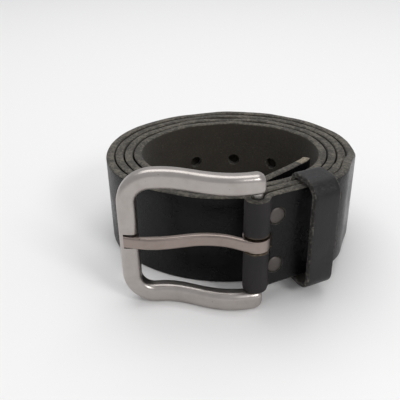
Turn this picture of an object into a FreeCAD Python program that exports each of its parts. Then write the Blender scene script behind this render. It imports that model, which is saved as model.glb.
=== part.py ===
import FreeCAD, Part
import os
from math import sqrt, sin, cos, asin, radians, degrees, pi
from FreeCAD import Vector, Rotation, Placement

# A gentleman's leather belt, rolled up and standing on its lower edge.
# One long strap of leather is wound into an oval roll. Its outer end is
# folded round a bar, which carries the cast buckle and the prong, and is
# riveted to itself. A loose leather keeper rides on the doubled strap.
# Millimetres, +Z up, origin on the table under the middle of the belt.

doc = FreeCAD.newDocument("belt")
sheet = doc.addObject("Spreadsheet::Sheet", "sizes")

SIZES = [
    ("strap_width", 38.0),      # height of the standing strap
    ("leather", 3.4),           # thickness of the strap
    ("turn_step", 4.0),         # leather and air from one turn to the next
    ("turn_drift", 0.4),        # each turn sits this much nearer the front
    ("roll_half_length", 54.0),  # roll's centre to its right end
    ("roll_flatness", 11.1),    # distance of the four arc centres from the middle
    ("roll_middle_x", -0.86),
    ("roll_middle_y", 7.62),
    ("strap_lift", 7.5),        # the buckle holds its end of the strap this high
    ("leave_angle", 20.0),      # where the outer end leaves the oval
    ("corner_radius", 20.0),    # outer end's bend before the keeper
    ("flat_angle", 65.2),       # direction the doubled strap faces
    ("flat_offset", "=roll_half_length + 2.36"),  # its outer face from the roll's middle
    ("back_leather", 3.1),      # thickness of the folded-back end
    ("skive_tip", 0.9),         # its thinned tip
    ("back_reach", 7.0),       # how far it runs past the bend
    ("ply_gap", 0.2),
    ("fold_leather", 2.6),      # thinned leather round the bar
    ("bar_radius", 1.9),
    ("bar_along", 28.2),        # bend to bar, along the doubled strap
    ("bar_depth", 1.5),         # bar centre below the strap's outer face
    ("running_gap", 0.1),
    ("hole_radius", 2.8),
    ("hole_step", 19.5),
    ("hole_start", 59.0),       # angle of the first hole on the back wall
    ("tip_corner", 3.5),
    ("tip_run", 22.0),          # straight run before the tip's curl
    ("slot_half", 3.3),
    ("rivet_head_radius", 3.25),
    ("rivet_head_thick", 1.0),
    ("rivet_proud", 0.4),
    ("rivet_post_radius", 1.5),
    ("rivet_cap_thick", 0.6),
    ("rivet_spread", 10.3),
    ("rivet_near_bar", 20.9),
    ("rivet_far", -4.6),
    ("keeper_width", 11.0),
    ("keeper_leather", 2.1),
    ("keeper_front_gap", 4.0),
    ("keeper_back_gap", 0.45),
    ("keeper_edge_gap", 1.55),
    ("keeper_drop", 0.7),       # its own weight lets it hang this low
    ("keeper_start", -1.1),
    ("keeper_round", 3.9),
    ("keeper_front_round", 6.0),
    ("staple_wire", 0.5),
    ("staple_length", 7.0),
    ("frame_height", "=strap_width + 17.2"),
    ("frame_length", 51.3),
    ("front_bar_width", 6.9),
    ("arm_height", 7.4),
    ("frame_depth", 6.0),
    ("frame_corner", 13.0),
    ("window_corner", 5.0),
    ("frame_past_bar", 2.6),    # the arms run on past the bar
    ("arm_end_round", 3.5),
    ("edge_round", 2.2),
    ("bar_seat", 4.0),          # the bar's ends sit this deep in the arms
    ("prong_width", 4.6),
    ("prong_soft", 0.9),        # rounding of its long edges
    ("prong_thick", 2.9),
    ("prong_rise", 1.3),        # prong's middle above the strap's middle
    ("notch_depth", 2.1),
]
for row, (alias, value) in enumerate(SIZES, start=1):
    sheet.set("A%d" % row, alias)
    sheet.set("B%d" % row, str(value))
    sheet.setAlias("B%d" % row, alias)
doc.recompute()


def size(name):
    return float(sheet.get(name))


def bind(obj, **links):
    for prop, text in links.items():
        obj.setExpression(prop.replace("__", "."), text)


W = size("strap_width")
T = size("leather")
STEP = size("turn_step")
DRIFT = size("turn_drift")
LIFT = size("strap_lift")
MID = LIFT + W / 2.0            # height of the doubled strap's middle
EZ = Vector(0, 0, 1)


def ray(angle):
    a = radians(angle)
    return Vector(cos(a), sin(a), 0)


def arc(center, radius, a0, a1):
    mid = center + ray((a0 + a1) / 2.0) * radius
    return Part.Arc(center + ray(a0) * radius, mid, center + ray(a1) * radius).toShape()


def line(p, q):
    return Part.LineSegment(p, q).toShape()


def plate(edges, z0, height):
    """Closed plan outline, raised from z0 by height."""
    wire = Part.Wire(Part.__sortEdges__(edges))
    solid = Part.Face(wire).extrude(Vector(0, 0, height))
    solid.translate(Vector(0, 0, z0))
    return solid


# ---- the roll: an oval spiral of quarter arcs -----------------------------
# Four centres round the middle. At each corner the radius swings between
# the tight ends and the flat sides and loses a little, so that the turns
# step inwards. Both faces of the leather share the same centres.
TURNS = 16
flat = size("roll_flatness")
swing = sqrt(2.0) * flat
lean = DRIFT / (2.0 * sqrt(2.0))
lose = [STEP / 4.0 - lean, STEP / 4.0 - lean, STEP / 4.0 + lean, STEP / 4.0 + lean]
middle = Vector(size("roll_middle_x"), size("roll_middle_y"), 0)
arcs = []
center = middle + Vector(flat, 0, 0)
radius = size("roll_half_length") - flat
for n in range(TURNS):
    arcs.append((center, radius, -45.0 + 90.0 * n))
    side = swing if n % 2 == 0 else -swing
    new_radius = radius + side - lose[n % 4]
    center = center + ray(45.0 + 90.0 * n) * (radius - new_radius)
    radius = new_radius

TIP_START = 11.0                # inner end leaves the oval past the front
outer = []
inner = []
for n, (c, r, a) in enumerate(arcs):
    a0 = 0.0 if n == 0 else a
    a1 = a + 90.0
    if n == TURNS - 1:
        a1 = a + 45.0 + TIP_START
    outer.append(arc(c, r, a0, a1))
    inner.append(arc(c, r - T, a0, a1))

# inner end: a bend away from the wall, a straight run and a small curl
c, r, a = arcs[-1]
heading = a + 45.0 + TIP_START


def run_arc(c, r_out, a0, a1):
    outer.append(arc(c, r_out, a0, a1))
    inner.append(arc(c, r_out - T, a0, a1))


BEND_R, BEND_TURN = 16.0, 31.0
RUN = size("tip_run")
CURL_R, CURL_TURN = 9.0, 42.0
p_out = c + ray(heading) * r
c = p_out - ray(heading) * BEND_R
run_arc(c, BEND_R, heading, heading + BEND_TURN)
heading += BEND_TURN
p_out = c + ray(heading) * BEND_R
q_out = p_out + ray(heading + 90.0) * RUN
outer.append(line(p_out, q_out))
inner.append(line(p_out - ray(heading) * T, q_out - ray(heading) * T))
c = q_out - ray(heading) * CURL_R
run_arc(c, CURL_R, heading, heading + CURL_TURN)
heading += CURL_TURN
tip_out = c + ray(heading) * CURL_R
tip_in = c + ray(heading) * (CURL_R - T)

c0, r0, _ = arcs[0]
start_out = c0 + ray(0) * r0
start_in = c0 + ray(0) * (r0 - T)
roll_edges = outer + inner + [line(start_out, start_in), line(tip_out, tip_in)]
roll = plate(roll_edges, 0.0, W)

# rounded tip: the two corners of the end are cut off round
ROUND = size("tip_corner")
tip_dir = ray(heading + 90.0 - CURL_TURN / 2.0)
tip_side = ray(heading - CURL_TURN / 2.0)
for z_edge, up in ((0.0, 1.0), (W, -1.0)):
    base = tip_out - tip_dir * ROUND - tip_side * 6.0
    zc = z_edge + up * ROUND
    block = Part.makeBox(2.0 * ROUND, 8.5, ROUND + 1.0)
    z_low = zc - ROUND - 1.0 if up > 0 else zc
    turn = degrees(tip_dir.getAngle(Vector(1, 0, 0)))
    block.Placement = Placement(base + EZ * z_low, Rotation(EZ, turn))
    if block.CenterOfMass.sub(tip_out).dot(tip_side) > 6.0:
        raise ValueError("the tip's cutter lies on the wrong side")
    core = Part.makeCylinder(ROUND, 30.0, base - tip_side * 4.0 + EZ * zc, tip_side)
    roll = roll.cut(block.cut(core))

# ---- the outer end: ramp, bend, doubled strap and fold ---------------------
LEAVE = size("leave_angle")
FACE = size("flat_angle")
RC = size("corner_radius")
face_dir = ray(-FACE)
run_dir = ray(-FACE - 90.0)
p0 = c0 + ray(-LEAVE) * r0
slant = ray(-LEAVE - 90.0)
turn_gain = RC * (1.0 - cos(radians(FACE - LEAVE)))
reach = (size("flat_offset") - p0.sub(middle).dot(face_dir) - turn_gain) / slant.dot(face_dir)
p1 = p0 + slant * reach
c_bend = p1 - ray(-LEAVE) * RC
bend_end = c_bend + face_dir * RC


def station(u):
    """Outer face point and outward direction, u from 0 to 1 along the ramp."""
    arc_len = radians(LEAVE) * r0
    d = u * (arc_len + reach)
    if d <= arc_len:
        a = -degrees(d / r0)
        return c0 + ray(a) * r0, ray(a)
    return p0 + slant * (d - arc_len), ray(-LEAVE)


RAMP_STATIONS = 9
sections = []
for i in range(RAMP_STATIONS):
    u = i / float(RAMP_STATIONS - 1)
    p, n_out = station(u)
    z = LIFT * (0.5 - 0.5 * cos(pi * u))
    q = p - n_out * T
    ring = [p + EZ * z, q + EZ * z, q + EZ * (z + W), p + EZ * (z + W)]
    sections.append(Part.makePolygon(ring + [ring[0]]))
ramp = Part.makeLoft(sections, True, True)


def flat_point(along, depth):
    """Point on the doubled strap: along it from the bend, below its face."""
    return bend_end + run_dir * along - face_dir * depth


GAP = size("ply_gap")
BACK = size("back_leather")
BAR_R = size("bar_radius")
bar_xy = flat_point(size("bar_along"), size("bar_depth"))
hole_r = BAR_R + 0.15
fold_r = hole_r + size("fold_leather")


def bar_angle_point(r, angle):
    """angle from the direction back towards the keeper, turning inwards."""
    a = radians(angle)
    return bar_xy - run_dir * (r * cos(a)) - face_dir * (r * sin(a))


def bar_arc(r, a0, a1):
    return Part.Arc(bar_angle_point(r, a0), bar_angle_point(r, (a0 + a1) / 2.0),
                    bar_angle_point(r, a1)).toShape()


# outline of the end: outer face, fold, folded-back end, slit, inner face
bar_depth = size("bar_depth")
crease = degrees(asin(bar_depth / fold_r))
IN_FACE = T + GAP + BACK        # depth of the folded-back end's inner face
OUT_FACE = T + GAP
REACH = size("back_reach")
SKIVE = size("skive_tip")
bar_along = size("bar_along")
slit_out = bar_angle_point(hole_r, 40.0)
slit_in = bar_angle_point(hole_r, 52.0)
turn_in = bar_angle_point(fold_r, 60.0)
SLIT = bar_along - 4.0
p1_back = p1 - slant * REACH
side_dir = ray(-LEAVE)
end_edges = [
    arc(c_bend, RC, -FACE, -LEAVE),
    line(bend_end, bar_angle_point(fold_r, -crease)),
    bar_arc(fold_r, -crease, -300.0),
    line(turn_in, flat_point(bar_along - 4.8, IN_FACE)),
    line(flat_point(bar_along - 4.8, IN_FACE), flat_point(0, IN_FACE)),
    arc(c_bend, RC - IN_FACE, -FACE, -LEAVE),
    line(p1 - side_dir * IN_FACE, p1_back - side_dir * (OUT_FACE + SKIVE)),
    line(p1_back - side_dir * (OUT_FACE + SKIVE), p1_back - side_dir * OUT_FACE),
    line(p1_back - side_dir * OUT_FACE, p1 - side_dir * OUT_FACE),
    arc(c_bend, RC - OUT_FACE, -FACE, -LEAVE),
    line(flat_point(0, OUT_FACE), flat_point(SLIT, OUT_FACE)),
    line(flat_point(SLIT, OUT_FACE), slit_in),
    bar_arc(hole_r, 52.0, 400.0),
    line(slit_out, flat_point(SLIT, T)),
    line(flat_point(SLIT, T), flat_point(0, T)),
    arc(c_bend, RC - T, -FACE, -LEAVE),
    line(p1 - side_dir * T, p1),
]
doubled = plate(end_edges, LIFT, W)

# prong slot through the fold
SLOT = size("slot_half")
PRONG_Z = MID + size("prong_rise")
slot = Part.makeBox(14.0, 22.0, 2.0 * SLOT)
slot.Placement = Placement(flat_point(22.8, 12.0) + EZ * (PRONG_Z - SLOT),
                           Rotation(EZ, -FACE - 90.0))
doubled = doubled.cut(slot)

leather = roll.fuse(ramp).fuse(doubled)
base = doc.addObject("Part::Feature", "strap_blank")
base.Shape = leather


def cylinder(name, radius_text, height_text, start, direction):
    obj = doc.addObject("Part::Cylinder", name)
    bind(obj, Radius=radius_text, Height=height_text)
    obj.Placement = Placement(start, Rotation(EZ, direction))
    return obj


# adjustment holes, first on the back wall, the rest towards the tip
punches = []
HOLES = 5
back_n = 13
c_h, r_h, a_h = arcs[back_n]
angle = size("hole_start")
for i in range(HOLES):
    if angle > 135.0 and back_n == 13:
        rest = radians(angle - 135.0) * (r_h - T / 2.0)
        back_n = 14
        c_h, r_h, a_h = arcs[back_n]
        angle = 135.0 + degrees(rest / (r_h - T / 2.0))
    start = c_h + ray(angle) * (r_h - T - 1.0) + EZ * (W / 2.0)
    obj = cylinder("hole_%d" % (i + 1), "sizes.hole_radius", "sizes.leather + 1.2",
                   start, ray(angle))
    punches.append(obj)
    angle += degrees(size("hole_step") / (r_h - T / 2.0))

# rivets: two by the bar, two past the keeper
PROUD = size("rivet_proud")
rivets = []
far = size("rivet_far")
far_dir = ray(-FACE - degrees(far / RC))
near_xy = flat_point(size("rivet_near_bar"), 0)
far_xy = c_bend + far_dir * RC
SPREAD = size("rivet_spread")
for tag, xy, d in (("near", near_xy, face_dir), ("far", far_xy, far_dir)):
    for level, dz in (("upper", SPREAD), ("lower", -SPREAD)):
        rivets.append(("%s_%s" % (tag, level), xy + EZ * (MID + dz), d))
STACK = "sizes.leather + sizes.ply_gap + sizes.back_leather"
CAP = size("rivet_cap_thick")
for tag, face_point, d in rivets:
    start = face_point + d * PROUD
    punches.append(cylinder("sink_" + tag, "sizes.rivet_head_radius + 0.15",
                            "sizes.rivet_head_thick + 0.05", start, d * -1.0))
    punches.append(cylinder("bore_" + tag, "sizes.rivet_post_radius", STACK + " + 1.2",
                            start, d * -1.0))
    # the cap lies in a recess, flush with the leather's inner side
    punches.append(cylinder("cap_seat_" + tag, "sizes.rivet_head_radius - 0.1", "2.0",
                            face_point - d * (IN_FACE - CAP), d * -1.0))

tools = doc.addObject("Part::MultiFuse", "punched_out")
tools.Shapes = punches
strap = doc.addObject("Part::Cut", "strap_cut")
strap.Base = base
strap.Tool = tools
strap.Label = "strap"
nodes = [strap]

for tag, face_point, d in rivets:
    start = face_point + d * PROUD
    head = cylinder("head_disc_" + tag, "sizes.rivet_head_radius",
                    "sizes.rivet_head_thick", start, d * -1.0)
    post = cylinder("head_post_" + tag, "sizes.rivet_post_radius",
                    STACK + " + sizes.rivet_proud - sizes.rivet_cap_thick", start, d * -1.0)
    whole = doc.addObject("Part::Fuse", "rivet_" + tag)
    whole.Base = head
    whole.Tool = post
    whole.Label = "rivet_head_" + tag
    cap = cylinder("cap_" + tag, "sizes.rivet_head_radius - 0.25", "sizes.rivet_cap_thick",
                   face_point - d * (IN_FACE - CAP), d * -1.0)
    cap.Label = "rivet_back_" + tag
    nodes += [whole, cap]

# ---- keeper: a band of leather bent round the doubled strap ---------------
keeper = doc.addObject("PartDesign::Body", "keeper_body")
keeper.Label = "keeper"
outer_box = keeper.newObject("PartDesign::AdditiveBox", "keeper_outer")
inner_box = keeper.newObject("PartDesign::SubtractiveBox", "keeper_inner")
tall = "(sizes.strap_width + 2 * sizes.keeper_edge_gap"
deep = ("(sizes.leather + sizes.ply_gap + sizes.back_leather"
        " + sizes.keeper_front_gap + sizes.keeper_back_gap")
bind(outer_box, Length=tall + " + 2 * sizes.keeper_leather)",
     Width=deep + " + 2 * sizes.keeper_leather)", Height="sizes.keeper_width")
bind(inner_box, Length=tall + ")", Width=deep + ")", Height="sizes.keeper_width + 2")
KL = size("keeper_leather")
KF = size("keeper_front_gap")
KE = size("keeper_edge_gap")
outer_box.Placement = Placement(Vector(-W / 2.0 - KE - KL, -KF - KL, 0), Rotation())
inner_box.Placement = Placement(Vector(-W / 2.0 - KE, -KF, -1), Rotation())
doc.recompute()


def long_edges(shape, length, direction):
    found = []
    for i, e in enumerate(shape.Edges):
        if abs(e.Length - length) > 1e-4 or len(e.Vertexes) != 2:
            continue
        t = e.tangentAt(e.FirstParameter)
        if abs(abs(t.dot(direction)) - 1.0) < 1e-6:
            found.append((i + 1, e.CenterOfMass))
    return found


def corner_fillet(source, name, on_front, outside, radius_text):
    """Round the two front or back corners, outside or inside the band."""
    names = []
    for i, m in long_edges(source.Shape, size("keeper_width"), EZ):
        is_outside = abs(m.x) > W / 2.0 + KE + KL / 2.0
        if (m.y < 0) == on_front and is_outside == outside:
            names.append("Edge%d" % i)
    fillet = keeper.newObject("PartDesign::Fillet", name)
    fillet.Base = (source, names)
    bind(fillet, Radius=radius_text)
    doc.recompute()
    return fillet


step_1 = corner_fillet(inner_box, "keeper_front_out", True, True,
                       "sizes.keeper_front_round")
step_2 = corner_fillet(step_1, "keeper_front_in", True, False,
                       "sizes.keeper_front_round - sizes.keeper_leather")
step_3 = corner_fillet(step_2, "keeper_back_out", False, True, "sizes.keeper_round")
step_4 = corner_fillet(step_3, "keeper_back_in", False, False,
                       "sizes.keeper_round - sizes.keeper_leather")
keeper.Tip = step_4
KEEPER_MID = MID - size("keeper_drop")
keeper_base = flat_point(size("keeper_start"), 0) + EZ * KEEPER_MID
keeper_turn = Rotation(EZ, face_dir * -1.0, run_dir, "ZXY")
keeper.Placement = Placement(keeper_base, keeper_turn)
nodes.append(keeper)

WIRE = size("staple_wire")
for tag, dz in (("upper", 6.0), ("lower", -6.0)):
    staple = doc.addObject("Part::Box", "staple_" + tag)
    bind(staple, Length="sizes.staple_wire + 0.4", Width="sizes.staple_wire",
         Height="sizes.staple_length")
    back = IN_FACE + size("keeper_back_gap") + KL
    along = size("keeper_start") + (size("keeper_width") - size("staple_length")) / 2.0
    at = flat_point(along, back) + EZ * (KEEPER_MID + dz)
    staple.Placement = Placement(at, keeper_turn)
    staple.Label = "keeper_staple_" + tag
    nodes.append(staple)

# ---- buckle frame: S-curved arms and a straight front bar ------------------
# Plan profile of the casting, measured from the bar: (along -x, depth y).
FRONT = [(2.6, -3.4), (0.9, -4.2), (-3.1, -5.0), (-7.4, -5.4), (-12.5, -4.9),
         (-19.6, -2.8), (-26.8, -0.1), (-33.0, 1.0), (-38.0, 0.8), (-44.0, 0.8),
         (-48.7, 1.5)]
DEEP = size("frame_depth")
PAST = size("frame_past_bar")
SPAN = size("frame_length")


def spline(points):
    curve = Part.BSplineCurve()
    curve.interpolate(points)
    return curve.toShape()


stretch = (SPAN - PAST) / 48.7
front_pts = [bar_xy + Vector(x * (stretch if x < 0 else PAST / 2.6), y, 0)
             for x, y in FRONT]
rear_pts = [bar_xy + Vector(x * (stretch if x < 0 else PAST / 2.6), y + DEEP, 0)
            for x, y in FRONT[2:]]
rear_pts = [bar_xy + Vector(PAST, 3.4, 0)] + rear_pts
HEIGHT = size("frame_height")
band_shape = plate([spline(front_pts), spline(rear_pts),
                    line(front_pts[0], rear_pts[0]),
                    line(front_pts[-1], rear_pts[-1])], 0.0, HEIGHT)
band = doc.addObject("Part::Feature", "frame_band")
band.Shape = band_shape

left_x = bar_xy.x + PAST - SPAN
block = doc.addObject("Part::Box", "frame_block")
bind(block, Length="sizes.frame_length", Width="40", Height="sizes.frame_height")
block.Placement = Placement(Vector(left_x, bar_xy.y - 20.0, 0), Rotation())
doc.recompute()
block_round = doc.addObject("Part::Fillet", "frame_block_round")
block_round.Base = block
corner = size("frame_corner")
end_round = size("arm_end_round")
picked = []
for i, e in enumerate(block.Shape.Edges):
    m = e.CenterOfMass
    if abs(m.y - bar_xy.y) < 0.01 and abs(m.z - size("frame_height") / 2.0) > 1.0:
        r = corner if abs(m.x - left_x) < 0.01 else end_round
        picked.append((i + 1, r, r))
block_round.Edges = picked

window = doc.addObject("Part::Box", "frame_window")
bind(window, Length="sizes.frame_length", Width="42",
     Height="sizes.frame_height - 2 * sizes.arm_height")
win_x = left_x + size("front_bar_width")
window.Placement = Placement(Vector(win_x, bar_xy.y - 21.0, size("arm_height")), Rotation())
doc.recompute()
window_round = doc.addObject("Part::Fillet", "frame_window_round")
window_round.Base = window
wc = size("window_corner")
picked = []
for i, e in enumerate(window.Shape.Edges):
    m = e.CenterOfMass
    if abs(m.x - win_x) < 0.01 and abs(m.y - bar_xy.y) < 0.01:
        picked.append((i + 1, wc, wc))
window_round.Edges = picked

hoop = doc.addObject("Part::Cut", "frame_hoop")
hoop.Base = block_round
hoop.Tool = window_round
sharp = doc.addObject("Part::Common", "frame_sharp")
sharp.Base = hoop
sharp.Tool = band
doc.recompute()

# prong notch in the front bar, and the bar's seats in the arms
PW = size("prong_width")
PT = size("prong_thick")
notch = doc.addObject("Part::Box", "prong_notch")
bind(notch, Length="sizes.front_bar_width + 0.5", Width="sizes.notch_depth + 3",
     Height="sizes.prong_width + 1.2")
notch.Placement = Placement(
    Vector(left_x + 1.6, bar_xy.y - 2.2, PRONG_Z - PW / 2.0 - 0.6), Rotation())
BAR_LOW = size("arm_height") - size("bar_seat")
bar_len = "sizes.frame_height - 2 * sizes.arm_height + 2 * sizes.bar_seat"
seat = cylinder("bar_seat_cut", "sizes.bar_radius", bar_len, bar_xy + EZ * BAR_LOW, EZ)

soft = doc.addObject("Part::Fillet", "frame_soft")
soft.Base = sharp
ER = size("edge_round")
picked = []
for i, e in enumerate(sharp.Shape.Edges):
    picked.append((i + 1, ER, ER))
soft.Edges = picked
doc.recompute()
tool = doc.addObject("Part::MultiFuse", "frame_tools")
tool.Shapes = [notch, seat]
frame_obj = doc.addObject("Part::Cut", "frame_cut")
frame_obj.Base = soft
frame_obj.Tool = tool
frame_obj.Label = "buckle_frame"
nodes.append(frame_obj)

bar = cylinder("bar_pin", "sizes.bar_radius", bar_len, bar_xy + EZ * BAR_LOW, EZ)
bar.Label = "hinge_bar"
nodes.append(bar)

# ---- prong: bent round the bar, S-curved, its tip in the notch -------------
PRONG = [(0.0, -4.9), (-3.2, -4.35), (-6.0, -3.1), (-9.5, -1.4), (-14.5, -0.1),
         (-21.0, 0.2), (-27.0, -0.7),
         (-32.5, -1.5), (-37.0, -1.7), (-41.5, -1.1), (-47.0, 0.3)]
ring_in = BAR_R + size("running_gap")
ring_out = ring_in + PT
prong_front = [bar_xy + Vector(x * stretch, y, 0) for x, y in PRONG]
prong_rear = [bar_xy + Vector(x * stretch, y + (PT if x > -40 else PT * 0.8), 0)
              for x, y in PRONG]
blade = plate([spline(prong_front), spline(prong_rear),
               line(prong_front[0], prong_rear[0]),
               line(prong_front[-1], prong_rear[-1])], PRONG_Z - PW / 2.0, PW)
soft_edges = [e for e in blade.Edges if e.Length > 30.0]
blade = blade.makeFillet(size("prong_soft"), soft_edges)
ring = Part.makeCylinder(ring_out, PW, bar_xy + EZ * (PRONG_Z - PW / 2.0), EZ)
hole = Part.makeCylinder(ring_in, PW + 2.0, bar_xy + EZ * (PRONG_Z - PW / 2.0 - 1.0), EZ)
prong = doc.addObject("Part::Feature", "prong_solid")
prong.Shape = blade.fuse(ring).cut(hole).removeSplitter()
prong.Label = "prong"
nodes.append(prong)

doc.recompute()
os.makedirs("parts", exist_ok=True)
for obj in doc.Objects:
    if "Invalid" in obj.State or "Error" in obj.State:
        raise RuntimeError("%s did not build" % obj.Label)
for obj in nodes:
    shape = obj.Shape
    if shape.isNull() or not shape.isValid():
        raise RuntimeError("%s has no valid shape" % obj.Label)
    if len(shape.Solids) != 1:
        raise RuntimeError("%s has %d solids" % (obj.Label, len(shape.Solids)))
    shape.exportStep("parts/%s.step" % obj.Label)
    print("%-24s %9.1f mm3" % (obj.Label, shape.Volume))
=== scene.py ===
# %% [markdown]
# # A rolled leather belt
#
# A belt is one long strip of leather with metal at one end. This one is
# wound into an oval roll and stands on its lower edge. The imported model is
# loaded first: it fixes where every piece goes, and nothing in it is moved.

# %% Load the frame
from math import acos, cos, degrees, pi, radians, sin, sqrt

import bmesh
import bpy
from mathutils import Matrix, Vector, noise


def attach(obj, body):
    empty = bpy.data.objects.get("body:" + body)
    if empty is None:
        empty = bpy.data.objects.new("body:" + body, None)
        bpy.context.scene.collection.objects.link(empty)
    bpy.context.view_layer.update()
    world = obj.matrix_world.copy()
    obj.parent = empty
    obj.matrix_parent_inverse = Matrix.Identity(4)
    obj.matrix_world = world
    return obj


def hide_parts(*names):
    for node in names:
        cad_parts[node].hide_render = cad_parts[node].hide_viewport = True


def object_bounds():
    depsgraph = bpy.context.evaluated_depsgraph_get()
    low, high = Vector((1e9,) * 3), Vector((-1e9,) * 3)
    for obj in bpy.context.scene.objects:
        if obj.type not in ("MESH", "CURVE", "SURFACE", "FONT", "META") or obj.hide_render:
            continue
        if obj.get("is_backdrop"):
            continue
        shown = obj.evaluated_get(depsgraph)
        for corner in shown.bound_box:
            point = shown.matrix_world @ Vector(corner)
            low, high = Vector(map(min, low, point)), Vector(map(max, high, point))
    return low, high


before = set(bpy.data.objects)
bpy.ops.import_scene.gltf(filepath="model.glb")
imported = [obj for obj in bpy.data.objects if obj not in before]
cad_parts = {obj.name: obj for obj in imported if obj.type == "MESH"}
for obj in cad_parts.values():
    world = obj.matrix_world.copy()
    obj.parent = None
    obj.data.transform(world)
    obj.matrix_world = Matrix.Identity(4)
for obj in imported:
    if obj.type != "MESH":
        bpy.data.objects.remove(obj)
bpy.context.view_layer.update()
print("frame nodes:", len(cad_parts))

# %% [markdown]
# ## Camera
#
# The camera looks down at the belt from the buckle's side. Its place could
# be set by eye, but a matrix built from four angles and lengths is easier to
# repeat: how high, how far, how steeply down, and a slight dip to the right.

# %% Camera
MM = 0.001
PITCH = radians(28.84)
ROLL = -0.021
forward = Vector((0, cos(PITCH), -sin(PITCH)))
level_up = Vector((0, sin(PITCH), cos(PITCH)))
level_right = Vector((1, 0, 0))
right = level_right * cos(ROLL) + level_up * sin(ROLL)
up = level_up * cos(ROLL) - level_right * sin(ROLL)
eye = Vector((-13.14, -219.34, 138.26)) * MM

lens = bpy.data.cameras.new("camera")
lens.sensor_width = 36.0
lens.lens = 51.45
lens.clip_start = 0.01
camera = bpy.data.objects.new("camera", lens)
camera.matrix_world = Matrix((
    (right.x, up.x, -forward.x, eye.x),
    (right.y, up.y, -forward.y, eye.y),
    (right.z, up.z, -forward.z, eye.z),
    (0, 0, 0, 1),
))
bpy.context.scene.collection.objects.link(camera)
bpy.context.scene.camera = camera
print("camera at", [round(v, 3) for v in eye])

# %% [markdown]
# ## Measures of the strap
#
# The roll follows quarter circles about four centres, so that it is tighter
# at the sides than along the front and back. Each corner loses a little
# radius, and the turns step inwards. All of these are in millimetres, as a
# belt maker would give them, and each mesh is brought to metres at the end.

# %% Strap measures
WIDTH = 38.0
LEATHER = 3.4
TURN_STEP = 4.0
TURN_DRIFT = 0.4
FLATNESS = 11.1
HALF_LENGTH = 54.0
MIDDLE = Vector((-0.86, 7.62, 0))
LIFT = 7.5
STRAP_MIDDLE = LIFT + WIDTH / 2
QUARTERS = 16
Z = Vector((0, 0, 1))


def ray(angle):
    """Unit vector in the table's plane, at an angle in degrees."""
    return Vector((cos(radians(angle)), sin(radians(angle)), 0))


swing = sqrt(2.0) * FLATNESS
lean = TURN_DRIFT / (2.0 * sqrt(2.0))
quarter_loss = [TURN_STEP / 4 - lean, TURN_STEP / 4 - lean,
                TURN_STEP / 4 + lean, TURN_STEP / 4 + lean]
quarters = []
centre = MIDDLE + Vector((FLATNESS, 0, 0))
radius = HALF_LENGTH - FLATNESS
for n in range(QUARTERS):
    quarters.append((centre.copy(), radius, -45.0 + 90.0 * n))
    smaller = radius + (swing if n % 2 == 0 else -swing) - quarter_loss[n % 4]
    centre = centre + ray(45.0 + 90.0 * n) * (radius - smaller)
    radius = smaller
print("innermost radius", round(quarters[-1][1], 2), "mm")

# the outer end: it leaves the oval, bends, and runs flat to the bar
LEAVE = 20.0
FACE = 65.2
BEND = 20.0
FLAT_OFFSET = 56.36
first_centre, first_radius, _ = quarters[0]
face_dir = ray(-FACE)
run_dir = ray(-FACE - 90)
slant = ray(-LEAVE - 90)
leave_point = first_centre + ray(-LEAVE) * first_radius
gain = BEND * (1 - cos(radians(FACE - LEAVE)))
reach = (FLAT_OFFSET - (leave_point - MIDDLE).dot(face_dir) - gain) / slant.dot(face_dir)
bend_centre = leave_point + slant * reach - ray(-LEAVE) * BEND
bend_end = bend_centre + face_dir * BEND
BAR_ALONG, BAR_DEPTH = 28.2, 1.5


def on_end(along, depth, z=STRAP_MIDDLE):
    """A point on the doubled end: along it from the bend, below its face."""
    return bend_end + run_dir * along - face_dir * depth + Z * z


bar = on_end(BAR_ALONG, BAR_DEPTH, 0.0)
print("bar at", [round(v, 2) for v in bar])

# %% [markdown]
# ## A helper that pulls a strip
#
# A strap could be a curve with a bevel, but a curve can't be thinned for the
# fold. Here a cut across the leather, a loop of edges, is extruded again and
# again, and every new loop is turned or moved on. Turning about a quarter's
# centre bends the strip exactly as the real one bends. Each point remembers
# how far along the strap it lies, so that creases can follow the leather.

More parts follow.
